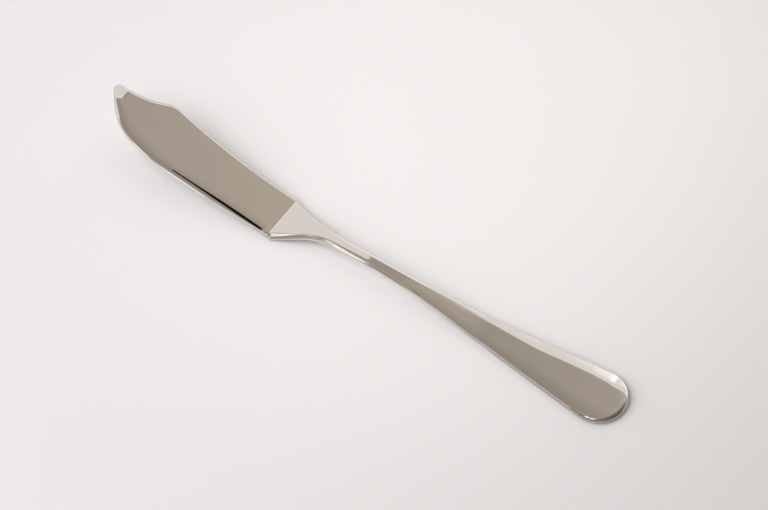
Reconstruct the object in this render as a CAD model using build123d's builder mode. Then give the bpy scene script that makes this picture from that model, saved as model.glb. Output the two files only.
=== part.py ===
"""Fish knife: a flat sheet blade whose tang is brazed into a solid forged handle.

Millimetres and degrees. +X runs from the tip to the butt, +Y points to the spine, +Z is up.
The knife lies on its back face: the heel and the grip touch Z = 0, and the blade lifts to its tip.
"""
from build123d import *
import os
from math import asin, atan, atan2, cos, degrees, hypot, pi, radians, sin, tan

# Blade
blade_length = 72.8          # shoulder to tip, in the plane of the blade
blade_thickness = 1.4
blade_tilt = 8.5             # lift of the blade towards its tip
heel_spine = 7.0             # spine's distance from the axis at the shoulder
heel_edge = 9.6              # edge's distance from the axis at the shoulder
heel_run = 6.0               # straight start of the spine at the shoulder
peak_from_tip = 19.6         # corner of the spine, before it is rounded
peak_height = 11.25
peak_radius = 8.0
clip_height = 6.8            # spine's distance from the axis beside the tip
clip_run = 2.5               # straight end of the spine beside the tip
tip_radius = 1.8
tip_angle = 55.0             # slope of the edge where it reaches the tip
bend_from_tip = 9.6          # tightest place of the belly
bend_depth = 5.9             # edge's distance from the axis there
belly_from_tip = 16.6        # place where the belly starts to rise
belly_depth = 8.85
edge_from_tip = 41.0         # lowest place of the edge
edge_depth = 10.65
edge_land = 0.5              # blunt thickness that is left all round the blade
edge_bevel = 2.5             # width of the bevel along the cutting edge
spine_bevel = 0.4            # width of the bevel along the spine

# Tang and seam
tang_length = 14.0
tang_thickness = 0.8
tang_root = 8.0              # width at the shoulder
tang_end = 2.2               # width at the far end
tang_offset = -0.5           # centre of the tang from the axis
seam_gap = 0.1               # brazing metal between the tang and its slot
step_height = 0.55           # handle's shoulder stands this proud of the blade, above and below
shoulder_proud = 0.2         # and this much at the spine and at the edge
bead_margin = 0.08           # bead stays this far below the top of the step
bead_run = 0.6               # and reaches this far onto the blade

# Handle, seen from above
handle_length = 127.0
grip_width = 19.2
neck_width = 4.2
flare_from_shoulder = 54.7   # place where the straight sides of the grip would meet the neck
flare_share = 0.88           # part of the stem that curves into the flare
spine_sweep = 26.8           # length of the neck's flare on the spine side
heel_slope = 30.0            # slope of the neck's flare on the edge side
heel_land = 0.8              # straight end of that flare at the shoulder
heel_radius = 1.6
neck_radius = 20.0

# Handle, seen from the side
grip_thickness = 2.8
neck_thickness = 2.2
arch_rise = 3.4              # room under the neck at its highest place
arch_from_shoulder = 41.3
rest_from_butt = 31.5        # length of the flat that the grip lies on
level_share = 0.66           # part of the way from arch to flat that the upper face takes to come down
hollow_share = 0.32          # part of that way where the underside turns from arch to hollow
grip_crown = 0.6             # fall of the upper face from the axis to the sides of the grip
shoulder_crown = 0.03        # the same at the shoulder, which is almost flat
edge_round = 0.8             # rounding of the handle's edges
round_share = 0.45           # most of the grip's side wall that one rounding takes
crown_stations = 15          # sections that shape the upper face

# Places that follow from the sizes above
tilt = radians(blade_tilt)
overall_length = blade_length * cos(tilt) + handle_length
butt_x = overall_length / 2
shoulder_x = butt_x - handle_length
arch_x = shoulder_x + arch_from_shoulder
rest_x = butt_x - rest_from_butt
rest_run = rest_x - arch_x
shoulder_thickness = blade_thickness + 2 * step_height
shoulder_z = shoulder_thickness / 2
neck_half = neck_width / 2
grip_half = grip_width / 2
bead_height = step_height - bead_margin
spine_end = heel_spine - spine_bevel
edge_end = heel_edge - edge_bevel

blade_plane = Plane(
    origin=(shoulder_x, 0, shoulder_z),
    x_dir=(cos(tilt), 0, -sin(tilt)),
    z_dir=(sin(tilt), 0, cos(tilt)),
)
heel_plane = Plane.YZ.offset(shoulder_x - seam_gap)


def upper_height(x):
    """Height of the handle's upper face above the table, on the axis."""
    crest = arch_rise + neck_thickness
    if x < arch_x:
        share = (x - shoulder_x) / arch_from_shoulder
        return shoulder_thickness + (crest - shoulder_thickness) * sin(share * pi / 2)
    share = min((x - arch_x) / (level_share * rest_run), 1)
    return crest + (grip_thickness - crest) * (1 - cos(share * pi)) / 2


def upper_crown(x):
    """Fall of the upper face from the axis to half the grip's width."""
    share = min(max((x - shoulder_x) / arch_from_shoulder, 0), 1)
    return shoulder_crown + (grip_crown - shoulder_crown) * share


# The tang follows the middle of the neck
tang_far_x = shoulder_x + tang_length
neck_middle = upper_height(tang_far_x) - (neck_thickness + shoulder_thickness) / 4
tang_rise = atan((neck_middle - shoulder_z) / tang_length)
tang_plane = Plane(
    origin=(shoulder_x, 0, shoulder_z),
    x_dir=(cos(tang_rise), 0, sin(tang_rise)),
    z_dir=(-sin(tang_rise), 0, cos(tang_rise)),
)


def blade_outline(spine_in, edge_in):
    """Outline of the blade in its own plane, drawn in from the spine and from the edge."""
    run_out = shoulder_thickness
    tip = -blade_length
    spine_y = heel_spine - spine_in
    clip_y = clip_height - spine_in
    peak = (tip + peak_from_tip, peak_height - spine_in)
    clip_start = (tip + tip_radius + clip_run, clip_y)
    tip_top = (tip + tip_radius, clip_y)
    nose = tip_radius - spine_in
    centre_y = clip_height - tip_radius
    slope = radians(tip_angle)
    tip_far = (tip + spine_in, centre_y)
    tip_low = (tip + tip_radius - nose * sin(slope), centre_y - nose * cos(slope))
    lean = edge_in * sin(slope / 2)
    bend = (tip + bend_from_tip + lean, edge_in * cos(slope / 2) - bend_depth)
    belly = (tip + belly_from_tip + edge_in * sin(slope / 4), edge_in - belly_depth)
    lowest = (tip + edge_from_tip, edge_in - edge_depth)
    with BuildLine() as lines:
        Line((run_out, spine_y), (-heel_run, spine_y))
        TangentArc((-heel_run, spine_y), peak, tangent=(-1, 0))
        TangentArc(clip_start, peak, tangent=(1, 0))
        Line(clip_start, tip_top)
        ThreePointArc(tip_top, tip_far, tip_low)
        Spline(tip_low, bend, belly, lowest, tangents=[(cos(slope), -sin(slope)), (1, 0)])
        Line(lowest, (run_out, edge_in - heel_edge))
        Line((run_out, edge_in - heel_edge), (run_out, spine_y))
    return lines


def tang_blank(grow):
    """Tang, larger all round by grow: the slot and the tang come from the same shape."""
    far = tang_length + grow
    start = -shoulder_thickness
    root = tang_root / 2 + grow
    end = tang_end / 2 + grow
    with BuildPart() as blank:
        with BuildSketch(tang_plane):
            with BuildLine():
                Polyline(
                    (start, tang_offset - root),
                    (0, tang_offset - root),
                    (far, -end),
                    (far, end),
                    (0, tang_offset + root),
                    (start, tang_offset + root),
                    close=True,
                )
            make_face()
        extrude(amount=tang_thickness / 2 + grow, both=True)
        split(bisect_by=heel_plane, keep=Keep.TOP)
    return blank.part


# Blade: bevelled above and below the blunt middle, with its tang behind the shoulder
tang = tang_blank(0)

with BuildPart() as blade:
    for height, inset in (
        (-blade_thickness / 2, 1),
        (-edge_land / 2, 0),
        (edge_land / 2, 0),
        (blade_thickness / 2, 1),
    ):
        with BuildSketch(blade_plane.offset(height)) as level:
            add(blade_outline(spine_bevel * inset, edge_bevel * inset).line)
            make_face()
            fillet(level.vertices().sort_by(Axis.Y)[-1], peak_radius)
    loft(ruled=True)
    split(bisect_by=heel_plane, keep=Keep.BOTTOM)
    add(tang)

blade.part.label = "blade"

# Handle: the plan and the underside are cut from straight walls, the upper face is crowned
grip_x = butt_x - grip_half
flare_x = shoulder_x + flare_from_shoulder
reach = grip_x - flare_x
flare_angle = asin(grip_half / hypot(reach, neck_half)) - atan2(neck_half, reach)
flare_radius = flare_share * (flare_from_shoulder - spine_sweep) / tan(flare_angle / 2)
flank_x = grip_x - grip_half * sin(flare_angle)
flank_y = grip_half * cos(flare_angle)
neck_spine = heel_spine + shoulder_proud
neck_edge = heel_edge + shoulder_proud
heel_x = shoulder_x + heel_land
sweep_x = heel_x + (neck_edge - neck_half) / tan(radians(heel_slope))
side_wall = grip_thickness - grip_crown
edge_radius = min(edge_round, round_share * side_wall)
body_height = 2 * (arch_rise + neck_thickness)
body_reach = grip_width + heel_edge

with BuildPart() as handle:
    with BuildSketch(Plane.XY):
        with BuildLine():
            TangentArc((shoulder_x + spine_sweep, neck_half), (shoulder_x, neck_spine), tangent=(-1, 0))
            FilletPolyline(
                (shoulder_x + spine_sweep, neck_half),
                (flare_x, neck_half),
                (flank_x, flank_y),
                radius=[flare_radius],
            )
            ThreePointArc((flank_x, flank_y), (butt_x, 0), (flank_x, -flank_y))
            FilletPolyline(
                (flank_x, -flank_y),
                (flare_x, -neck_half),
                (sweep_x, -neck_half),
                (heel_x, -neck_edge),
                (shoulder_x, -neck_edge),
                radius=[flare_radius, neck_radius, heel_radius],
            )
            Line((shoulder_x, -neck_edge), (shoulder_x, neck_spine))
        make_face()
    extrude(amount=body_height)

    hollow_x = arch_x + hollow_share * rest_run
    hollow_z = arch_rise * (1 - hollow_share)
    with BuildSketch(Plane.XZ):
        with BuildLine():
            Line((butt_x, 0), (rest_x, 0))
            TangentArc((rest_x, 0), (hollow_x, hollow_z), tangent=(-1, 0))
            TangentArc((arch_x, arch_rise), (hollow_x, hollow_z), tangent=(1, 0))
            TangentArc((arch_x, arch_rise), (shoulder_x, 0), tangent=(-1, 0))
            Polyline((shoulder_x, 0), (shoulder_x, body_height), (butt_x, body_height), (butt_x, 0))
        make_face()
    extrude(amount=body_reach, both=True, mode=Mode.INTERSECT)

    start_x = shoulder_x - edge_radius
    end_x = butt_x + edge_radius
    for station in range(crown_stations):
        x = start_x + (end_x - start_x) * station / (crown_stations - 1)
        top = upper_height(x)
        brim = top - upper_crown(x) * (body_reach / grip_width) ** 2
        side = body_reach / 2
        with BuildSketch(Plane.YZ.offset(x)):
            with BuildLine():
                ThreePointArc((-side, brim), (0, top), (side, brim))
                Polyline((side, brim), (side, -body_height), (-side, -body_height), (-side, brim))
            make_face()
    loft(mode=Mode.INTERSECT)

    rims = handle.edges().filter_by(lambda edge: abs(edge.center().X - shoulder_x) > edge_radius / 2)
    rims = rims.filter_by(Axis.Z, reverse=True).filter_by(Axis.Y, reverse=True)
    fillet(rims, edge_radius)
    add(tang_blank(seam_gap), mode=Mode.SUBTRACT)

handle.part.label = "handle"


def blade_face(x, side):
    """Height of the blade's upper or lower face beside the shoulder."""
    return shoulder_z + side * blade_thickness / 2 / cos(tilt) + (shoulder_x - x) * tan(tilt)


# Seam: fills the slot round the tang and the butt joint, and ends in a bead along the step
with BuildPart() as seam:
    add(tang_blank(seam_gap))
    with BuildSketch(heel_plane):
        with Locations(((spine_end - edge_end) / 2, shoulder_z)):
            Rectangle(spine_end + edge_end, blade_thickness)
    extrude(amount=seam_gap)
    for side in (1, -1):
        inner_z = shoulder_z + side * blade_thickness / 4
        with BuildSketch(Plane.XZ.offset(-spine_end)):
            with BuildLine():
                Polyline(
                    (shoulder_x, inner_z),
                    (shoulder_x, blade_face(shoulder_x, side) + side * bead_height),
                    (shoulder_x - bead_run, blade_face(shoulder_x - bead_run, side)),
                    (shoulder_x - seam_gap, blade_face(shoulder_x - seam_gap, side)),
                    (shoulder_x - seam_gap, inner_z),
                    close=True,
                )
            make_face()
        extrude(amount=spine_end + edge_end)
    add(tang, mode=Mode.SUBTRACT)

seam.part.label = "brazed_seam"

os.makedirs("parts", exist_ok=True)
export_step(blade.part, "parts/blade.step")
export_step(handle.part, "parts/handle.step")
export_step(seam.part, "parts/brazed_seam.step")
print("overall length", round(overall_length, 2), "flare", round(degrees(flare_angle), 2))
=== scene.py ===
# %% [markdown]
# # A polished fish knife
# The real knife is a flat sheet blade with a notched spine, brazed into a solid forged handle.
# Everything is mirror-polished steel, so what the eye reads is how smoothly each face turns towards
# its rim, and what it mirrors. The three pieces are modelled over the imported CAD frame, in its place.

# %% Load the frame
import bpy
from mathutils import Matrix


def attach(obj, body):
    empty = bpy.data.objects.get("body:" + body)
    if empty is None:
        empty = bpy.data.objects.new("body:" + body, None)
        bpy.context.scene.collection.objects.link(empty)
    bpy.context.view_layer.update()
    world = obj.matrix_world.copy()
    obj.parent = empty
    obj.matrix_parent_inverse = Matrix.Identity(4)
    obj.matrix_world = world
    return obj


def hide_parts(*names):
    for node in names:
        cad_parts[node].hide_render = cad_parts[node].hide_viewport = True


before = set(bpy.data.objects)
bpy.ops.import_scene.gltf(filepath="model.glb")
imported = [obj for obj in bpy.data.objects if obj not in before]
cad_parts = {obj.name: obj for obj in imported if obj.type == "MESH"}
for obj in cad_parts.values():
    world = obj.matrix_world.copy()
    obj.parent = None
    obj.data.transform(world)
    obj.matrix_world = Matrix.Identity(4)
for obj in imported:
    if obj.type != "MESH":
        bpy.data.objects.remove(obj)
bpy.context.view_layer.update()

import math
import bmesh
import bpy
import numpy as np
from mathutils import Vector

MM = 0.001

# %% [markdown]
# ## The camera
# The knife was seen from its near side and from above, with a long lens. Azimuth and elevation give the
# direction, and a small sideways step of the whole camera puts the knife where the frame has it, so that
# the lens needs no shift.

# %% Camera
view_azimuth = math.radians(34.472)
view_elevation = math.radians(55.9314)
view_distance, step_right, step_up = 800.0, 8.7925, 1.3601
back = Vector((
    math.sin(view_azimuth) * math.cos(view_elevation),
    -math.cos(view_azimuth) * math.cos(view_elevation),
    math.sin(view_elevation),
))
right = Vector((math.cos(view_azimuth), math.sin(view_azimuth), 0.0))
up = back.cross(right)
eye = (back * view_distance + right * step_right + up * step_up) * MM
bpy.ops.object.camera_add(location=eye, rotation=(-back).to_track_quat("-Z", "Y").to_euler())
camera = bpy.context.object
camera.data.sensor_width = 36.0
camera.data.lens = 118.121
bpy.context.scene.camera = camera
bpy.context.scene.view_settings.view_transform = "Standard"
print("camera at", [round(v, 4) for v in camera.location], "lens", camera.data.lens)

# %% [markdown]
# ## Shader maths in plain arithmetic
# A finish is easier to read as a formula than as a web of nodes. `Wire` holds one output socket, and its
# operators add Math nodes. `Finish` owns a node tree and makes any other node with one method.

# %% Wires and finishes
class Wire:
    """One value in a shader, which can be added, multiplied and so on."""

    def __init__(self, finish, socket):
        self.finish = finish
        self.socket = socket

    def math(self, operation, first, second):
        return self.finish.node("ShaderNodeMath", {"operation": operation}, {0: first, 1: second})

    def __add__(self, other):
        return self.math("ADD", self, other)

    def __radd__(self, other):
        return self.math("ADD", other, self)

    def __sub__(self, other):
        return self.math("SUBTRACT", self, other)

    def __rsub__(self, other):
        return self.math("SUBTRACT", other, self)

    def __mul__(self, other):
        return self.math("MULTIPLY", self, other)

    def __rmul__(self, other):
        return self.math("MULTIPLY", other, self)

    def __pow__(self, other):
        return self.math("POWER", self, other)


class Finish:
    """A node tree that starts empty."""

    def __init__(self, tree):
        self.tree = tree
        tree.nodes.clear()

    def node(self, kind, settings=None, values=None, out=0):
        """Makes a node, sets it up, links or sets its inputs and returns the wires of its outputs."""
        made = self.tree.nodes.new(kind)
        for name, value in (settings or {}).items():
            setattr(made, name, value)
        for name, value in (values or {}).items():
            if isinstance(value, Wire):
                self.tree.links.new(value.socket, made.inputs[name])
            else:
                made.inputs[name].default_value = value
        if isinstance(out, tuple):
            return [Wire(self, made.outputs[number]) for number in out]
        return Wire(self, made.outputs[out]) if made.outputs else made

    def step(self, value, low, high):
        """0 below low, 1 above high, and smooth between. With low above high it falls instead of rising."""
        settings = {"interpolation_type": "SMOOTHSTEP"}
        return self.node("ShaderNodeMapRange", settings, {"Value": value, "From Min": low, "From Max": high})

    def window(self, value, low, high, soft):
        """1 between low and high, 0 outside, and smooth over twice soft at both ends."""
        return self.step(value, low - soft, low + soft) * (1 - self.step(value, high - soft, high + soft))

    def blend(self, share, first, second):
        """A colour between two colours."""
        settings = {"data_type": "RGBA"}
        return self.node("ShaderNodeMix", settings, {0: share, 6: first, 7: second}, out=2)


def colour(red, green, blue):
    """An opaque colour, as the sockets take it."""
    return (red, green, blue, 1.0)


print("shader helpers ready")

# %% [markdown]
# ## The room that the steel mirrors
# Polished steel has hardly any colour of its own. The blade and the grip look warm grey because they mirror
# a dim ceiling, and the neck and the far rims look white because they mirror pale walls. So the world is a
# plain room: pale walls, a dimmer near side behind the viewer, a grey strip where the walls meet the table, a
# warm dim ceiling whose edge leans towards the viewer, five bright windows and one dark fixture overhead.
# In a world shader the generated coordinate is the direction of the ray, so places in the room are azimuths
# and elevations in degrees, or the x, y and z of a ray for a straight border.

# %% World
def direction(azimuth, elevation):
    """A unit vector, with the azimuth counted from +X towards +Y."""
    a, e = math.radians(azimuth), math.radians(elevation)
    return (math.cos(a) * math.cos(e), math.sin(a) * math.cos(e), math.sin(e))


world = bpy.data.worlds.new("studio_room")
bpy.context.scene.world = world
world.use_nodes = True
room = Finish(world.node_tree)
ray = room.node("ShaderNodeTexCoord", out=0)
ray_x, ray_y, ray_z = room.node("ShaderNodeSeparateXYZ", values={0: ray}, out=(0, 1, 2))
ray_azimuth = room.node("ShaderNodeMath", {"operation": "ARCTAN2"}, {0: ray_y, 1: ray_x}) * math.degrees(1)
ray_elevation = room.node("ShaderNodeMath", {"operation": "ARCSINE"}, {0: ray_z}) * math.degrees(1)

wall_low = colour(1.0, 0.950, 0.915)
wall_high = colour(0.905, 0.853, 0.825)
wall_left = colour(0.660, 0.612, 0.565)
near_lit = colour(0.540, 0.500, 0.455)
near_grey = colour(0.370, 0.335, 0.290)
near_dark = colour(0.220, 0.195, 0.165)
near_corner = colour(0.400, 0.360, 0.310)
near_left = colour(0.560, 0.520, 0.480)
strip_grey = colour(0.450, 0.420, 0.385)

wall = room.blend(room.step(ray_elevation, 8.0, 50.0), wall_low, wall_high)
wall = room.blend(room.step(ray_x, -0.80, -0.87), wall, wall_left)
near_wall = room.blend(room.step(ray_azimuth, -95.0, -66.0), near_lit, near_grey)
near_wall = room.blend(room.step(ray_azimuth, -60.0, -5.0), near_wall, near_dark)
near_wall = room.blend(room.step(ray_azimuth, -103.0, -97.0), near_corner, near_wall)
near_wall = room.blend(room.step(ray_x, -0.386, -0.370), near_left, near_wall)
wall = room.blend(room.window(ray_azimuth, -158.0, 66.0, 4.0), wall, near_wall)
wall = room.blend(room.window(ray_elevation, -3.0, 5.0, 1.5), wall, strip_grey)

ceiling_left = colour(0.440, 0.392, 0.335)
ceiling_middle = colour(0.612, 0.546, 0.466)
ceiling_right = colour(0.470, 0.420, 0.360)
ceiling_near = colour(0.370, 0.324, 0.270)
ceiling_axis = direction(120.0, 86.0)
towards_ceiling = room.node("ShaderNodeVectorMath", {"operation": "DOT_PRODUCT"}, {0: ray, 1: ceiling_axis}, out=1)
ceiling = room.step(towards_ceiling, math.cos(math.radians(33.0)), math.cos(math.radians(32.6)))
depth = room.node("ShaderNodeMapRange", values={"Value": ray_y, "From Min": -0.10, "From Max": 0.52}) ** 3.0
along = room.node("ShaderNodeMapRange", values={"Value": ray_x, "From Min": -0.27, "From Max": -0.09})
far_ceiling = room.blend(along, ceiling_left, ceiling_middle)
far_ceiling = room.blend(room.step(ray_x, -0.08, 0.15), far_ceiling, ceiling_right)
room_colour = room.blend(ceiling, wall, room.blend(depth, ceiling_near, far_ceiling))

tall_window = room.step(ray_x, -0.560, -0.500) * (1 - room.step(ray_x, -0.386, -0.370))
tall_window = tall_window * room.window(ray_elevation, 10.0, 46.0, 5.0)
tall_window = tall_window * room.step(ray_y, -0.25, -0.35)
low_window = room.step(ray_azimuth, -85.0, -79.0) * (1 - room.step(ray_azimuth, -70.0, -58.0))
low_window = low_window * room.window(ray_elevation, 27.0, 46.0, 3.0)
slot_window = room.window(ray_azimuth, -108.0, -98.0, 2.0) * room.window(ray_elevation, 5.0, 13.0, 2.0)
slot_window = slot_window * room.step(ray_x, -0.216, -0.224)
side_window = room.window(ray_azimuth, -98.0, -86.0, 3.0) * room.window(ray_elevation, 34.0, 48.0, 2.0)
back_window = room.window(ray_azimuth, 68.0, 105.5, 6.0) * room.window(ray_elevation, 34.5, 45.5, 3.0)
for window, light in (
    (tall_window, colour(1.30, 1.26, 1.22)),
    (low_window, colour(1.30, 1.26, 1.22)),
    (slot_window, colour(1.30, 1.26, 1.22)),
    (side_window, colour(2.00, 1.94, 1.88)),
    (back_window, colour(1.70, 1.66, 1.60)),
):
    room_colour = room.blend(window, room_colour, light)

fixture = room.step(ray_x, -0.1335, -0.1285) * (1 - room.step(ray_x, -0.085, -0.065))
fixture = fixture * room.step(ray_y, -0.14, -0.11) * (1 - room.step(ray_y, 0.11, 0.16))
fixture_black = colour(0.006, 0.005, 0.005)
room_colour = room.blend(fixture * room.step(ray_z, 0.3, 0.5), room_colour, fixture_black)
background = room.node("ShaderNodeBackground", values={"Color": room_colour, "Strength": 1.0})
room.node("ShaderNodeOutputWorld", values={"Surface": background})
print("room with", len(world.node_tree.nodes), "nodes")

# %% [markdown]
# ## Table and lamps
# The knife lies on a pale sheet whose colour is painted a little darker away from its middle and towards the right:
# painted shade for the fall of the lamps' light. Two large soft lamps stand on the left, a faint one behind the knife
# and a strong one in front, and give the soft shadows. They don't show in the steel: the room does that.

# %% Table and lamps
bpy.ops.object.select_all(action="DESELECT")
bpy.ops.mesh.primitive_plane_add(size=6.0, location=(0.0, 0.0, -0.02 * MM))
table = bpy.context.object
table.name = "table_top"
paper = bpy.data.materials.new("table_paper")
paper.use_nodes = True
sheet_finish = Finish(paper.node_tree)
spot = sheet_finish.node("ShaderNodeTexCoord", out=3)
fleck = sheet_finish.node("ShaderNodeTexNoise", values={"Vector": spot, "Scale": 9.0, "Detail": 3.0})
spot_x, spot_y = sheet_finish.node("ShaderNodeSeparateXYZ", values={0: spot}, out=(0, 1))
paper_light = colour(0.800, 0.800, 0.824)
paper_lighter = colour(0.810, 0.810, 0.834)
# painted shade: the next two darker colours stand in for the lamps' light falling off away from the middle and to the
# right
paper_painted_falloff = colour(0.692, 0.692, 0.713)
paper_painted_shade_right = colour(0.564, 0.564, 0.581)
paper_middle = {0: spot, 1: (0.02, 0.075, 0.0)}
from_middle = sheet_finish.node("ShaderNodeVectorMath", {"operation": "DISTANCE"}, paper_middle, out=1)
paper_colour = sheet_finish.blend(fleck, paper_light, paper_lighter)
# painted shade: the sheet is darkened away from its middle, then towards the right
paper_colour = sheet_finish.blend(sheet_finish.step(from_middle, 0.03, 0.20), paper_colour, paper_painted_falloff)
paper_colour = sheet_finish.blend(sheet_finish.step(spot_x - 0.2 * spot_y, 0.0, 0.26), paper_colour, paper_painted_shade_right)
paper_skin = sheet_finish.node("ShaderNodeBsdfPrincipled", values={"Base Color": paper_colour, "Roughness": 0.75})
sheet_finish.node("ShaderNodeOutputMaterial", values={"Surface": paper_skin})
table.data.materials.append(paper)

lamp_distance = 1.2
for name, azimuth, elevation, size, power in (
    ("lamp_behind", 130.0, 45.0, 1.6, 1.8),
    ("lamp_front", -138.0, 38.0, 1.5, 18.6),
):
    towards = Vector(direction(azimuth, elevation))
    bpy.ops.object.light_add(type="AREA", location=towards * lamp_distance)
    lamp = bpy.context.object
    lamp.name = name
    lamp.rotation_euler = towards.to_track_quat("Z", "Y").to_euler()
    lamp.data.size = size
    lamp.data.energy = power
    lamp.visible_glossy = False
    print(name, [round(v, 3) for v in lamp.location])

# %% [markdown]
# ## Drawing an outline
# Both the blade and the handle are seen first as an outline from above. An outline is drawn here as straight
# runs and arcs, and then divided into even steps, because even steps give even faces later.

# %% Outline helpers
def arc(centre, radius, start, end, count=120):
    """Points on an arc, with the angles in degrees."""
    angles = np.radians(np.linspace(start, end, count))
    return np.stack([centre[0] + radius * np.cos(angles), centre[1] + radius * np.sin(angles)], -1)


def rounded(points, radii):
    """A polyline whose inner corners are rounded."""
    points = [np.asarray(p, float) for p in points]
    path = [points[0][None]]
    for before, corner, after, radius in zip(points, points[1:], points[2:], radii):
        a = (before - corner) / np.linalg.norm(before - corner)
        b = (after - corner) / np.linalg.norm(after - corner)
        half = math.acos(np.clip(a @ b, -1, 1)) / 2
        middle = corner + (a + b) / np.linalg.norm(a + b) * radius / math.sin(half)
        first = corner + a * radius / math.tan(half) - middle
        last = corner + b * radius / math.tan(half) - middle
        start = math.degrees(math.atan2(first[1], first[0]))
        turn = math.degrees(math.atan2(first[0] * last[1] - first[1] * last[0], first @ last))
        path.append(arc(middle, radius, start, start + turn))
    path.append(points[-1][None])
    return np.concatenate(path)


def even(path, count, crowd=1.0, at_end=False):
    """The same path in count steps: equal ones, or with crowd above 1 steps that get shorter towards one end."""
    gaps = np.linalg.norm(np.diff(path, axis=0), axis=1)
    path = path[np.concatenate([[True], gaps > 1e-9])]
    along = np.concatenate([[0], np.cumsum(np.linalg.norm(np.diff(path, axis=0), axis=1))])
    share = np.linspace(0, 1, count + 1)
    share = 1 - (1 - share) ** crowd if at_end else share**crowd
    places = share * along[-1]
    return np.stack([np.interp(places, along, path[:, 0]), np.interp(places, along, path[:, 1])], -1)


def inward(chain, side):
    """Unit vectors from an outline to its inside: side is 1 where that is on the left of the run, else -1."""
    run = np.gradient(chain, axis=0)
    run /= np.linalg.norm(run, axis=1)[:, None]
    return side * np.stack([-run[:, 1], run[:, 0]], -1)


print("outline helpers ready")

# %% [markdown]
# ## From outline to slab
# A slab with soft rims could be an extruded outline with a bevel, but a bevel has one width all round, and
# this blade has a wide roll on its edge and a tight one on its spine. So a grid is laid inside the outline,
# its open side is extruded ring by ring over the rim and under it, and a second grid closes the underside.

# %% Slab helpers
smooth_angle = math.radians(40)


def patch(chain, columns, rows):
    """Fills an outline of three sides, whose fourth side is straight, with evenly drawn grid points."""
    near_side = chain[: columns + 1]
    end = chain[columns : columns + rows + 1]
    far_side = chain[columns + rows :][::-1]
    start = np.linspace(near_side[0], far_side[0], rows + 1)
    u = np.linspace(0, 1, columns + 1)[:, None, None]
    v = np.linspace(0, 1, rows + 1)[None, :, None]
    sides = (1 - v) * near_side[:, None] + v * far_side[:, None] + (1 - u) * start[None] + u * end[None]
    corners = (
        (1 - u) * (1 - v) * near_side[0] + u * (1 - v) * near_side[-1]
        + (1 - u) * v * far_side[0] + u * v * far_side[-1]
    )
    return sides - corners


def lay_grid(name, chain, columns, rows, height):
    """Adds a grid and moves its points onto the patch, at the height that a function gives."""
    bpy.ops.object.select_all(action="DESELECT")
    bpy.ops.mesh.primitive_grid_add(x_subdivisions=columns, y_subdivisions=rows, size=1.0)
    piece = bpy.context.object
    piece.name = piece.data.name = name
    points = patch(chain[:, :2], columns, rows)
    for vertex in piece.data.vertices:
        column = round((vertex.co.x + 0.5) * columns)
        row = round((vertex.co.y + 0.5) * rows)
        x, y = points[column, row]
        vertex.co = (x * MM, y * MM, height(x, y) * MM)
    return piece


def rim_number(column, row, columns, rows):
    """Place of a grid point along the open side, counted from 1, or 0 for a point that isn't on it."""
    if row == 0:
        return column + 1
    if column == columns:
        return columns + row + 1
    if row == rows:
        return columns + rows + (columns - column) + 1
    return 0


def slab(name, rings, columns, rows, upper, lower):
    """A closed slab. Each ring is an array of points along the outline, from the upper face to the lower one."""
    piece = lay_grid(name, rings[0], columns, rows, upper)
    bpy.ops.object.mode_set(mode="EDIT")
    bpy.ops.mesh.select_mode(type="EDGE")
    bpy.ops.mesh.select_all(action="DESELECT")
    mesh = bmesh.from_edit_mesh(piece.data)
    number = mesh.verts.layers.int.new("number")
    mesh.verts.layers.float.new("rim")
    mesh.verts.ensure_lookup_table()
    for index, vertex in enumerate(mesh.verts):
        vertex[number] = rim_number(index % (columns + 1), index // (columns + 1), columns, rows)
    for edge in mesh.edges:
        a, b = (v[number] for v in edge.verts)
        edge.select_set(edge.is_boundary and a > 0 and b > 0 and abs(a - b) == 1)
    bmesh.update_edit_mesh(piece.data)
    for place, ring in enumerate(rings[1:], 1):
        bpy.ops.mesh.extrude_region_move()
        mesh = bmesh.from_edit_mesh(piece.data)
        number = mesh.verts.layers.int["number"]
        rim = mesh.verts.layers.float["rim"]
        for vertex in mesh.verts:
            if vertex.select:
                vertex.co = Vector(ring[vertex[number] - 1]) * MM
                vertex[rim] = place / (len(rings) - 1)
        bmesh.update_edit_mesh(piece.data)
    bpy.ops.object.mode_set(mode="OBJECT")
    under = lay_grid(name + "_under", rings[-1], columns, rows, lower)
    piece.select_set(True)
    under.select_set(True)
    bpy.context.view_layer.objects.active = piece
    bpy.ops.object.join()
    bpy.ops.object.mode_set(mode="EDIT")
    bpy.ops.mesh.select_all(action="SELECT")
    bpy.ops.mesh.remove_doubles(threshold=0.002 * MM)
    bpy.ops.object.mode_set(mode="OBJECT")
    return piece


def cut_end(piece, place, normal):
    """Cuts the open end off along a plane, closes it and turns all faces outwards."""
    bpy.ops.object.mode_set(mode="EDIT")
    bpy.ops.mesh.select_all(action="SELECT")
    bpy.ops.mesh.bisect(plane_co=place, plane_no=normal, use_fill=True, clear_outer=True, threshold=1e-7)
    bpy.ops.mesh.select_all(action="SELECT")
    bpy.ops.mesh.normals_make_consistent(inside=False)
    bpy.ops.object.mode_set(mode="OBJECT")
    bpy.ops.object.shade_smooth_by_angle(angle=smooth_angle)
    piece.data.attributes.remove(piece.data.attributes["number"])


def tell(piece):
    """Prints what a mesh holds, and whether it is closed."""
    check = bmesh.new()
    check.from_mesh(piece.data)
    open_edges = sum(not e.is_manifold for e in check.edges)
    triangles = sum(len(f.verts) - 2 for f in check.faces)
    volume = check.calc_volume(signed=True) * 1e9
    check.free()
    print(piece.name, triangles, "triangles,", open_edges, "open edges,", round(volume), "mm3")


print("slab helpers ready")

# %% [markdown]
# ## The blade's outline
# The spine runs straight from the heel, rises to a rounded peak and drops in a hollow to the blunt tip. The
# edge leaves the tip steeply, bends into the belly and runs back to the heel. It is drawn flat, with the
# heel at x = 0, and tilted later.

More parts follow.
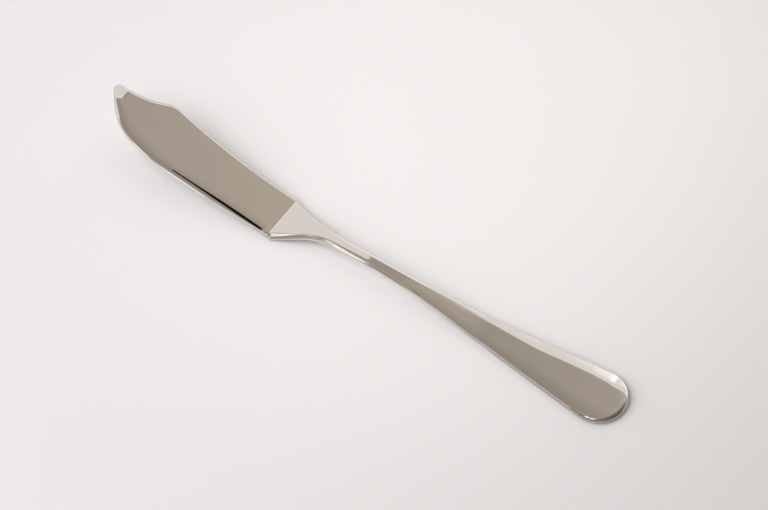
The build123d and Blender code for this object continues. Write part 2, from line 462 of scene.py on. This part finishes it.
# %% Blade outline
blade_length, blade_thickness, blade_tilt = 72.8, 1.4, math.radians(8.5)
heel_spine, heel_edge, heel_run = 7.0, 9.6, 6.0
peak_from_tip, peak_height, peak_radius = 19.6, 11.25, 8.0
clip_height, clip_run, tip_radius, tip_angle = 6.8, 2.5, 1.8, 55.0
edge_from_tip, edge_depth = 41.0, 10.65
heel_spare = 2.0
tip = -blade_length

hollow_x = tip + tip_radius + clip_run
rise_run, rise = -heel_run - (tip + peak_from_tip), peak_height - heel_spine
drop_run, drop = tip + peak_from_tip - hollow_x, peak_height - clip_height
rise_radius = (rise_run**2 + rise**2) / (2 * rise)
drop_radius = (drop_run**2 + drop**2) / (2 * drop)
rise_centre = np.array([-heel_run, heel_spine + rise_radius])
drop_centre = np.array([hollow_x, clip_height + drop_radius])

between = drop_centre - rise_centre
apart = np.linalg.norm(between)
from_rise, from_drop = rise_radius + peak_radius, drop_radius + peak_radius
along = (from_rise**2 - from_drop**2 + apart**2) / (2 * apart)
aside = math.sqrt(from_rise**2 - along**2)
unit = between / apart
peak_centre = rise_centre + unit * along + np.array([-unit[1], unit[0]]) * aside


def heading(start, end):
    """The direction from one point to another, in degrees."""
    return math.degrees(math.atan2(end[1] - start[1], end[0] - start[0]))


spine_path = np.concatenate([
    [[heel_spare, heel_spine]],
    arc(rise_centre, rise_radius, -90.0, heading(rise_centre, peak_centre)),
    arc(peak_centre, peak_radius, heading(peak_centre, rise_centre), heading(peak_centre, drop_centre)),
    arc(drop_centre, drop_radius, heading(drop_centre, peak_centre), -90.0),
    [[tip + tip_radius, clip_height]],
])
nose_path = arc((tip + tip_radius, clip_height - tip_radius), tip_radius, 90.0, 270.0 - tip_angle)
print("peak of the spine", spine_path[:, 1].max().round(2), "at", spine_path[spine_path[:, 1].argmax(), 0].round(2))

# %% Cutting edge
edge_marks = [
    (nose_path[-1][0], nose_path[-1][1], -math.tan(math.radians(tip_angle))),
    (tip + 9.6, -5.9, -0.641),
    (tip + 16.6, -8.85, -0.267),
    (tip + edge_from_tip, -edge_depth, 0.0),
    (0.0, -heel_edge, 0.045),
    (heel_spare, -heel_edge + 0.045 * heel_spare, 0.045),
]


def cubic(start, end, count=80):
    """A curve between two marks (x, y, slope)."""
    (x0, y0, m0), (x1, y1, m1) = start, end
    t = np.linspace(0, 1, count)
    y = (
        (1 + 2 * t) * (1 - t) ** 2 * y0 + t**2 * (3 - 2 * t) * y1
        + (x1 - x0) * (t * (1 - t) ** 2 * m0 - t**2 * (1 - t) * m1)
    )
    return np.stack([x0 + t * (x1 - x0), y], -1)


edge_path = np.concatenate([cubic(a, b) for a, b in zip(edge_marks, edge_marks[1:])])
blade_columns, blade_rows = 200, 20
blade_chain = np.concatenate([
    even(spine_path, blade_columns),
    even(nose_path, blade_rows)[1:],
    even(edge_path, blade_columns)[1:],
])
blade_inward = inward(blade_chain, 1)
print("blade outline of", len(blade_chain), "points")

# %% [markdown]
# ## How the blade's rim turns
# Across the rim the face turns from flat to upright. Along the cutting edge it rolls slowly towards a straight
# grind line, runs down a flat bevel and ends in a blunt lip. The slow roll is what draws the dark line of the
# ceiling fixture along the edge. The spine has only a narrow rounding. Each rim is a row of short steps, and
# each step has a length and a slope, so a rim can change along the blade by blending the steps.

# %% Blade rims
half_sheet = blade_thickness / 2
grind_line, grind_width, grind_loss = 9.0, 1.45, 0.2
roll_steps = [(0.8, 0.4), (0.8, 1.5), (0.6, 3.1), (0.3, 5.3), (0.15, 8.0), (0.26, 10.9), (0.26, 13.4)]
bevel_steps = [(0.17, 15.2), (0.13, 17.2), (0.1, 19.3), (0.18, 20.3), (0.24, 21.0), (0.18, 22.5)]
lip_steps = [(0.1, 33.0), (0.1, 45.0), (0.34, 55.0), (0.2, 64.0), (0.2, 70.0), (0.06, 79.0), (0.03, 87.0)]
rim_steps = len(roll_steps) + len(bevel_steps) + len(lip_steps)
lip_width = sum(length * math.cos(math.radians(slope)) for length, slope in lip_steps)
full_lip_from, bevel_cosine = 1.2, 0.94
shelf_parts = [(22.0, 0.45), (31.0, 0.55)]


def edge_rim(width, softness, flatness):
    """Steps of the cutting edge: width from its grind line to the outline, softness of the turn, slope of the bevel."""
    lip = min(1.0, width / full_lip_from)
    bevel = max(width - lip * lip_width, 0.1) / bevel_cosine
    steps = np.array(roll_steps + [(bevel * share, slope) for share, slope in bevel_steps]
                     + [(lip * length, slope) for length, slope in lip_steps])
    steps[5:7, 0] *= softness
    steps[len(roll_steps) : len(roll_steps) + len(bevel_steps), 1] *= flatness
    return steps


def rounded_rim(radius, shelf):
    """Steps of a rounding, with a shelf on it whose two parts have slopes and shares of their own."""
    slopes = (np.arange(rim_steps) + 0.5) * 90.0 / rim_steps
    lengths = np.full(rim_steps, radius * math.pi / 2 / rim_steps)
    for slope, share in shelf_parts:
        lengths[np.abs(slopes - slope).argmin()] += shelf * share
    return np.stack([lengths, slopes], -1)


print("edge rim of", rim_steps, "steps, lip", round(lip_width, 2), "mm wide")

# %% Blade rings
count = len(blade_chain)
number = np.arange(count)
edge_start = blade_columns + blade_rows
edge_run_in, nose_reach = 32, 12
nose_loss, all_round_loss = 0.06, 0.005
under_radius, under_nose_radius = 0.18, 0.55
softness_marks = [(-38.0, 0.3), (-34.0, 0.4), (-28.0, 0.65), (-20.0, 1.1), (-12.0, 1.25), (-4.0, 1.05)]
flatness_marks = [(-30.0, 1.0), (-20.0, 0.90), (-13.0, 0.82)]
hollow_rim, spine_rim = rounded_rim(0.4, 0.85), rounded_rim(0.5, 0.18)

edge_share = np.interp(number, [edge_start, edge_start + edge_run_in], [0.0, 1.0])
edge_share = edge_share**2 * (3 - 2 * edge_share)
heel_share = np.interp(blade_chain[:, 0], [-3.1, -2.2], [0.0, 1.0])
edge_share = np.where(number > edge_start, edge_share * (1 - heel_share), edge_share)
hollow_share = np.interp(blade_chain[:, 0], [tip + peak_from_tip - 1.0, tip + peak_from_tip + 4.0], [1.0, 0.0])
hollow_share *= np.interp(number, [blade_columns - 8, blade_columns + 6], [1.0, 0.0])
nose_share = np.clip(1.5 - np.abs(number - blade_columns - blade_rows / 2) / 40, 0.0, 1.0)
blade_loss = grind_loss * edge_share + nose_loss * nose_share + all_round_loss
blade_chain = blade_chain + blade_inward * blade_loss[:, None]

blade_rings = np.zeros((rim_steps + 1, count, 3))
wall_rings = np.zeros((6, count, 3))
for i, (x, y) in enumerate(blade_chain):
    width = np.clip(-y - grind_line, 0.4, grind_width) if x > tip + edge_from_tip else grind_width
    spine = hollow_share[i] * hollow_rim + (1 - hollow_share[i]) * spine_rim
    edge = edge_rim(width, np.interp(x, *zip(*softness_marks)), np.interp(x, *zip(*flatness_marks)))
    steps = edge_share[i] * edge + (1 - edge_share[i]) * spine
    slope = np.radians(steps[:, 1])
    inset = np.concatenate([[0], np.cumsum((steps[:, 0] * np.cos(slope))[::-1])])[::-1]
    z = half_sheet - np.concatenate([[0], np.cumsum(steps[:, 0] * np.sin(slope))])
    blade_rings[:, i, :2] = blade_chain[i] + blade_inward[i] * inset[:, None]
    blade_rings[:, i, 2] = z
    at_nose = blade_columns - nose_reach < i < edge_start + nose_reach
    under_round = min(under_nose_radius if at_nose else under_radius, z[-1] + half_sheet)
    turn = np.radians(np.linspace(0, 90, len(wall_rings)))
    wall_rings[:, i, :2] = blade_chain[i] + blade_inward[i] * (under_round * (1 - np.cos(turn)))[:, None]
    wall_rings[:, i, 2] = -half_sheet + under_round * (1 - np.sin(turn))
blade_rings = [*blade_rings, *wall_rings]
print("rim of the edge is", round(half_sheet - blade_rings[rim_steps][edge_start + 100][2], 2), "mm deep")

# %% Blade mesh
blade = slab(
    "knife_blade", blade_rings, blade_columns, blade_rows,
    lambda x, y: half_sheet, lambda x, y: -half_sheet,
)
tell(blade)

# %% [markdown]
# ## Setting the blade at its angle
# The corner of the tip is ground a little lower on its upper face, so that it mirrors the wall. Then the blade
# is tilted up from the heel, moved to the shoulder of the handle and cut off upright, where the seam starts.

# %% Blade in place
handle_length = 127.0
overall_length = blade_length * math.cos(blade_tilt) + handle_length
shoulder_x = overall_length / 2 - handle_length
shoulder_z = 1.25
seam_gap = 0.1
nose_x, nose_y, nose_slope, nose_bend = tip + 5.75, 2.7, math.tan(math.radians(8.5)), 0.8

for vertex in blade.data.vertices:
    x, y, z = vertex.co / MM
    reach = max(nose_x - x - max(nose_y - y, 0.0), 0.0)
    bend = min(reach, nose_bend)
    fall = nose_slope * (bend**2 / (2 * nose_bend) + (reach - bend))
    share = min(max((z + half_sheet) / blade_thickness, 0.0), 1.0)
    vertex.co.z -= fall * share * MM
blade.rotation_euler = (0.0, blade_tilt, 0.0)
blade.location = (shoulder_x * MM, 0.0, shoulder_z * MM)
bpy.ops.object.transform_apply(location=True, rotation=True, scale=True)
cut_end(blade, ((shoulder_x - seam_gap) * MM, 0.0, 0.0), (1.0, 0.0, 0.0))
tell(blade)

# %% [markdown]
# ## The handle's outline
# From the shoulder the handle narrows fast to a slim stem, faster on the edge side, then its sides open
# slowly to the round butt. The stem of a forged knife is never quite straight: here both its sides lean to the
# edge side by up to half a millimetre, so the finished outline is pushed over a little, with soft ends.

# %% Handle outline
butt_x = overall_length / 2
grip_half, neck_half = 9.6, 2.1
neck_spine, neck_edge = 7.2, 9.8
shoulder_spare = 1.2
spine_sweep, flare_from_shoulder, flare_share = 26.8, 54.7, 0.88
flare_x = shoulder_x + flare_from_shoulder
heel_x, heel_slope, heel_radius, neck_radius = shoulder_x + 0.8, math.radians(30.0), 1.6, 20.0
butt_corner = 50.0
grip_x = butt_x - grip_half
reach = grip_x - flare_x
flare_angle = math.asin(grip_half / math.hypot(reach, neck_half)) - math.atan2(neck_half, reach)
flare_radius = flare_share * (flare_from_shoulder - spine_sweep) / math.tan(flare_angle / 2)
flank = (grip_x - grip_half * math.sin(flare_angle), grip_half * math.cos(flare_angle))
flank_turn = 90.0 + math.degrees(flare_angle)
sweep_x = heel_x + (neck_edge - neck_half) / math.tan(heel_slope)
stem_x = shoulder_x + spine_sweep
sweep_radius = (spine_sweep**2 + (neck_spine - neck_half) ** 2) / (2 * (neck_spine - neck_half))
sweep_centre = (stem_x, neck_half + sweep_radius)
sweep_start = heading(sweep_centre, (shoulder_x, neck_spine)) - math.degrees(shoulder_spare / sweep_radius)

far_path = np.concatenate([
    arc(sweep_centre, sweep_radius, sweep_start, -90.0),
    rounded([(stem_x, neck_half), (flare_x, neck_half), flank], [flare_radius]),
    arc((grip_x, 0.0), grip_half, flank_turn, butt_corner),
])
butt_path = arc((grip_x, 0.0), grip_half, butt_corner, -butt_corner)
near_path = np.concatenate([
    arc((grip_x, 0.0), grip_half, -butt_corner, -flank_turn),
    rounded(
        [
            (flank[0], -flank[1]), (flare_x, -neck_half), (sweep_x, -neck_half),
            (heel_x, -neck_edge), (shoulder_x - shoulder_spare, -neck_edge),
        ],
        [flare_radius, neck_radius, heel_radius],
    ),
])
handle_columns, handle_rows = 300, 24
handle_chain = np.concatenate([
    even(far_path, handle_columns, crowd=1.5),
    even(butt_path, handle_rows)[1:],
    even(near_path, handle_columns, crowd=1.5, at_end=True)[1:],
])
far_lean = [(4.0, 0.0), (10.0, 0.1), (15.0, 0.25), (20.0, 0.4), (28.0, 0.36), (36.0, 0.05), (44.0, 0.0)]
near_lean = [
    (-16.0, 0.0), (-8.0, 0.35), (0.0, 0.5), (10.0, 0.5), (20.0, 0.55), (28.0, 0.5), (36.0, 0.1), (44.0, 0.0),
]
lean = np.where(
    np.arange(len(handle_chain)) < handle_columns,
    np.interp(handle_chain[:, 0], *zip(*far_lean)),
    np.interp(handle_chain[:, 0], *zip(*near_lean)),
)
lean_softness = 21
handle_chain[:, 1] -= np.convolve(lean, np.full(lean_softness, 1 / lean_softness), "same")
handle_inward = inward(handle_chain, -1)
print("handle outline of", len(handle_chain), "points, sides open by", round(math.degrees(flare_angle), 2), "degrees")

# %% [markdown]
# ## How high the handle is
# Seen from the side the handle arches over its stem and lies flat under the grip. Across the grip the upper
# face is flat in the middle and rolls over softly towards the sides, like a pillow. At the shoulder its front
# edge is rounded, which gives the bright strip beside the blade.

# %% Handle heights
shoulder_thickness, grip_thickness, neck_thickness = 2.5, 2.35, 2.2
arch_rise, arch_x, rest_x = 3.4, shoulder_x + 41.3, butt_x - 31.5
level_share, hollow_place = 0.66, 0.32
rest_run = rest_x - arch_x
crest = arch_rise + neck_thickness
shoulder_roll, shoulder_dip = 0.7, 0.15
flat_from = [
    (28.0, 0.5), (42.0, 1.4), (52.0, 2.25), (66.0, 2.45), (84.0, 4.3),
    (92.0, 4.4), (95.0, 6.0), (97.0, 6.8), (99.0, 7.6),
]
pillow_run, pillow_slope, pillow_twist = 2.2, 11.2, 2.8
pillow_marks = [(14.0, 0.0), (32.0, 1.0)]
near_drop, near_run = 0.07, 2.4
near_marks = [(48.0, 0.0), (62.0, 1.0), (83.0, 1.0), (88.0, 0.0)]
tip_over_marks = [(14.0, 0.0), (24.0, 0.035), (42.0, 0.035), (54.0, 0.0)]


def crest_height(x):
    """Height of the upper face along the middle."""
    if x < arch_x:
        share = (x - shoulder_x) / (arch_x - shoulder_x)
        return shoulder_thickness + (crest - shoulder_thickness) * math.sin(share * math.pi / 2)
    share = min((x - arch_x) / (level_share * rest_run), 1.0)
    return crest + (grip_thickness - crest) * (1 - math.cos(share * math.pi)) / 2


def upper_face(x, y):
    """Height of the upper face: the crest less the pillow, the drop of the near side and the roll at the front."""
    across = math.hypot(y, max(x - grip_x, 0.0))
    beyond = max(across - np.interp(x, *zip(*flat_from)), 0.0)
    slope = math.radians(pillow_slope + pillow_twist * min(max(y / 3, -1.0), 1.0))
    roll = slope * (beyond - pillow_run * (1 - math.exp(-beyond / pillow_run)))
    roll = roll * np.interp(x, *zip(*pillow_marks)) - y * np.interp(x, *zip(*tip_over_marks))
    side = (grip_half - (grip_x - x) * math.sin(flare_angle)) / math.cos(flare_angle)
    roll += near_drop * max(-y - side + near_run, 0.0) ** 2 * np.interp(x, *zip(*near_marks))
    front = max(1 - (x - shoulder_x) / shoulder_roll, 0.0)
    return crest_height(x) - roll - shoulder_dip * front**2


def under_face(x, y=0.0):
    """Height of the underside, which is the same all across: an arch, a hollow and the flat under the grip."""
    if x > rest_x:
        return 0.0
    hollow_x, hollow_z = arch_x + hollow_place * rest_run, arch_rise * (1 - hollow_place)
    if x > hollow_x:
        bow = ((rest_x - hollow_x) ** 2 + hollow_z**2) / (2 * hollow_z)
        return bow - math.sqrt(bow**2 - (rest_x - x) ** 2)
    run, rise = (hollow_x - arch_x, arch_rise - hollow_z) if x > arch_x else (arch_x - shoulder_x, arch_rise)
    bow = (run**2 + rise**2) / (2 * rise)
    return max(arch_rise - bow + math.sqrt(bow**2 - (arch_x - x) ** 2), 0.0)


print("crest", crest, "at", round(arch_x, 2), "under the stem", round(under_face(arch_x), 2))

# %% [markdown]
# ## The handle's rims
# The side of the handle is three arcs: a rounding at the top, a long flank and a rounding at the bottom. At the
# heel the flank leans, on the stem everything is soft, so that its section is nearly a lens, and along the
# grip the side is almost upright with a tight rounding. The far side of the butt keeps a tighter rim than the
# near side. The marks give these for places along the handle, and the flank gets whatever radius the height
# asks for.

# %% Handle rims
rim_marks = [  # x, radius at the top, slopes at the two ends of the flank, radius at the bottom
    (-26.0, 0.40, 37.0, 57.0, 0.60),
    (-22.0, 0.25, 42.0, 59.0, 0.60),
    (-18.0, 0.25, 50.0, 64.0, 0.62),
    (-14.0, 0.40, 47.0, 62.0, 0.68),
    (-8.0, 1.10, 36.0, 56.0, 0.85),
    (0.0, 1.60, 30.0, 52.0, 0.96),
    (10.0, 1.60, 30.0, 52.0, 0.96),
    (40.0, 0.06, 68.0, 86.0, 0.50),
    (83.0, 0.06, 68.0, 86.0, 0.50),
    (86.0, 0.50, 45.0, 78.0, 0.60),
    (88.5, 0.80, 36.0, 66.0, 0.70),
    (91.5, 0.80, 36.0, 60.0, 0.75),
    (94.5, 1.00, 40.0, 56.0, 0.80),
    (99.0, 1.20, 38.0, 54.0, 0.80),
]
far_butt = (0.60, 55.0, 80.0)  # radius at the top and slopes of the flank
arc_steps, probe = 8, 0.05


def side_profile(point, inwards):
    """Insets from the outline and heights, from the upper face round to the lower one."""
    places, *rim_columns = zip(*rim_marks)
    *rim, low_radius = (float(np.interp(point[0], places, column)) for column in rim_columns)
    far_end = np.interp(point[1], [-1.0, 4.0], [0.0, 1.0]) * np.interp(point[0], [83.0, 87.0], [0.0, 1.0])
    top_radius, first, last = (here + (there - here) * far_end for here, there in zip(rim, far_butt))
    first, last = math.radians(first), math.radians(last)
    width = 1.0
    for _ in range(6):
        start = point + inwards * width
        begin = math.atan((upper_face(*(start + inwards * probe)) - upper_face(*start)) / probe)
        begin = min(max(begin, 0.0), first - 0.1)
        height = upper_face(*start) - under_face(point[0] + inwards[0] * low_radius)
        flank = height - top_radius * (math.cos(begin) - math.cos(first)) - low_radius * (math.cos(last) + 1)
        flank_radius = max(flank, 0.02) / (math.cos(first) - math.cos(last))
        width = (
            top_radius * (math.sin(first) - math.sin(begin)) + flank_radius * (math.sin(last) - math.sin(first))
            + low_radius * (1 - math.sin(last))
        )
    spots = [(width, 0.0)]
    for radius, a, b in ((top_radius, begin, first), (flank_radius, first, last), (low_radius, last, math.pi)):
        inset, drop = spots[-1]
        for angle in np.linspace(a, b, arc_steps + 1)[1:]:
            shift = inset - radius * (math.sin(angle) - math.sin(a))
            fall = drop + radius * (math.cos(a) - math.cos(angle))
            spots.append((shift, fall))
    top = upper_face(*(point + inwards * width))
    return [(shift, top - fall) for shift, fall in spots]


handle_rings = np.zeros((3 * arc_steps + 1, len(handle_chain), 3))
for i, (point, inwards) in enumerate(zip(handle_chain, handle_inward)):
    for k, (shift, z) in enumerate(side_profile(point, inwards)):
        handle_rings[k, i] = (*(point + inwards * shift), z)
    handle_rings[-1, i, 2] = under_face(handle_rings[-1, i, 0])
print("handle rims in", len(handle_rings), "rings")

# %% Handle mesh
handle = slab("knife_handle", list(handle_rings), handle_columns, handle_rows, upper_face, under_face)
cut_end(handle, (shoulder_x * MM, 0.0, 0.0), (-1.0, 0.0, 0.0))
tell(handle)

# %% [markdown]
# ## The brazed seam
# Where the blade meets the handle, a little brazing metal fills the step. It shows as a narrow bright line. Its
# section is drawn as one face, a low hump above and below the sheet, and extruded across the blade. The plane at
# the start only gives an empty mesh: its points are deleted.

# %% Seam
bead_run, bead_height, bead_bulge = 0.6, 0.385, 0.03
seam_spine, seam_edge = 6.6, 8.4
bead_steps = 8
blade_top = half_sheet / math.cos(blade_tilt)


def blade_middle(x):
    """Height of the middle of the blade's sheet."""
    return shoulder_z + (shoulder_x - x) * math.tan(blade_tilt)


bpy.ops.object.select_all(action="DESELECT")
bpy.ops.mesh.primitive_plane_add(size=1.0)
seam = bpy.context.object
seam.name = seam.data.name = "brazed_bead"
bpy.ops.object.mode_set(mode="EDIT")
bpy.ops.mesh.delete(type="VERT")
mesh = bmesh.from_edit_mesh(seam.data)
profile = []
for side in (1, -1):
    steps = range(bead_steps + 1)
    for k in (steps if side == 1 else reversed(steps)):
        share = k / bead_steps
        x = shoulder_x - bead_run * (1 - share)
        z = blade_middle(x) + side * (blade_top + bead_height * share + bead_bulge * 4 * share * (1 - share))
        profile.append((x, z))
loop = [mesh.verts.new((x * MM, seam_spine * MM, z * MM)) for x, z in profile]
mesh.faces.new(loop)
bmesh.update_edit_mesh(seam.data)
bpy.ops.mesh.select_all(action="SELECT")
bpy.ops.mesh.extrude_region_move(TRANSFORM_OT_translate={"value": (0.0, -(seam_spine + seam_edge) * MM, 0.0)})
bpy.ops.mesh.select_all(action="SELECT")
bpy.ops.mesh.normals_make_consistent(inside=False)
bpy.ops.object.mode_set(mode="OBJECT")
bpy.ops.object.shade_smooth_by_angle(angle=smooth_angle)
tell(seam)

# %% [markdown]
# ## Steel
# Mirror-polished steel is a metal with little roughness. Fine polishing lines along the length and faint
# smudges change the roughness a little, and a very shallow wave bends the mirror images. A band along the
# rims is painted brighter, a painted highlight, and the low sides are painted darker, painted shade, all along
# the blade and on the handle from the grip on. The bend of the neck is rougher. The `rim` attribute runs from
# 0 on the upper face to 1 under the rim, so a band of it is a strip along the whole outline.

# %% Steel and braze
nowhere = (2.0, 3.0)
# painted shade: the colour of the darkened low sides, standing in for the shadowed floor that they mirror
painted_shade_steel = colour(0.52, 0.50, 0.475)
band_softness, rim_softness, bend_softness = 0.03, 0.04, 0.0015
low_sides = (0.34, 1.1)


def polished(
    name, tint, bright, rim_highlight, roughness, line_scale,
    highlight_rim=nowhere, shaded_rim=nowhere, shade_from=-1.0, bend=nowhere,
):
    """Polished metal. The rims are bands of the rim attribute, which carry a painted highlight and painted shade; the
    other ranges are places along the knife.
    """
    material = bpy.data.materials.new(name)
    material.use_nodes = True
    steel = Finish(material.node_tree)
    place = steel.node("ShaderNodeTexCoord", out=3)
    place_x = steel.node("ShaderNodeSeparateXYZ", values={0: place}, out=0)
    stretched = steel.node("ShaderNodeMapping", values={"Vector": place, "Scale": line_scale})
    lines = steel.node("ShaderNodeTexNoise", values={"Vector": stretched, "Scale": 1.0, "Detail": 4.0})
    smudge = steel.node("ShaderNodeTexNoise", values={"Vector": place, "Scale": 110.0, "Detail": 3.0})
    wave = steel.node("ShaderNodeTexNoise", values={"Vector": place, "Scale": 70.0, "Detail": 1.0})
    rim = steel.node("ShaderNodeAttribute", {"attribute_name": "rim"}, out=2)
    handled = steel.step(smudge, 0.55, 0.75)
    # painted highlight: a band of the rim is made brighter and a little rougher
    painted_highlight = steel.window(rim, *highlight_rim, band_softness)
    # painted shade: the low sides are made darker, from a place along the knife on
    painted_shade = steel.window(rim, *shaded_rim, band_softness) * steel.step(place_x, shade_from - 0.01, shade_from + 0.01)
    rough_bend = steel.window(place_x, *bend, bend_softness) * steel.window(rim, *low_sides, rim_softness)
    rough = roughness + 0.015 * (lines - 0.5) + 0.03 * handled + 0.02 * painted_highlight + 0.22 * rough_bend
    shade = steel.blend(0.5 * lines + 0.5 * smudge, tint, bright)
    shade = steel.blend(painted_highlight, shade, rim_highlight)
    shade = steel.blend(painted_shade, shade, painted_shade_steel)
    relief = steel.node("ShaderNodeBump", values={"Strength": 1.0, "Distance": 8.0e-5, "Height": wave + 0.002 * lines})
    skin = steel.node("ShaderNodeBsdfPrincipled", values={
        "Base Color": shade, "Metallic": 1.0, "Roughness": rough, "Normal": relief,
    })
    steel.node("ShaderNodeOutputMaterial", values={"Surface": skin})
    return material


lengthwise, crosswise = (60.0, 9000.0, 9000.0), (9000.0, 300.0, 9000.0)
# each finish gets a painted highlight band and a painted shade band as ranges of the rim attribute
blade.data.materials.append(polished(
    "blade_polish", colour(0.735, 0.708, 0.682), colour(0.755, 0.728, 0.702), colour(0.93, 0.905, 0.88),
    roughness=0.025, line_scale=lengthwise, highlight_rim=(0.54, 0.66), shaded_rim=(0.72, 0.90),
))
handle.data.materials.append(polished(
    "handle_polish", colour(0.730, 0.703, 0.677), colour(0.750, 0.723, 0.697), colour(0.86, 0.835, 0.81),
    roughness=0.030, line_scale=lengthwise, highlight_rim=(0.08, 0.34), shaded_rim=(0.36, 0.95), shade_from=0.036,
    bend=(-0.0125, -0.0070),
))
seam.data.materials.append(polished(
    "braze_polish", colour(0.95, 0.915, 0.88), colour(0.98, 0.945, 0.91), colour(0.90, 0.86, 0.82),
    roughness=0.12, line_scale=crosswise,
))
print("finishes", [m.name for m in bpy.data.materials])

# %% [markdown]
# ## Tying the pieces to the frame
# The knife has no joints, so all three pieces ride on the one body. Each stands for its CAD node.

# %% Ride and replace
for piece, node, slot in (
    (blade, "blade", "blade_steel"),
    (handle, "handle", "handle_steel"),
    (seam, "brazed_seam", "braze_metal"),
):
    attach(piece, "root")
    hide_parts(node)
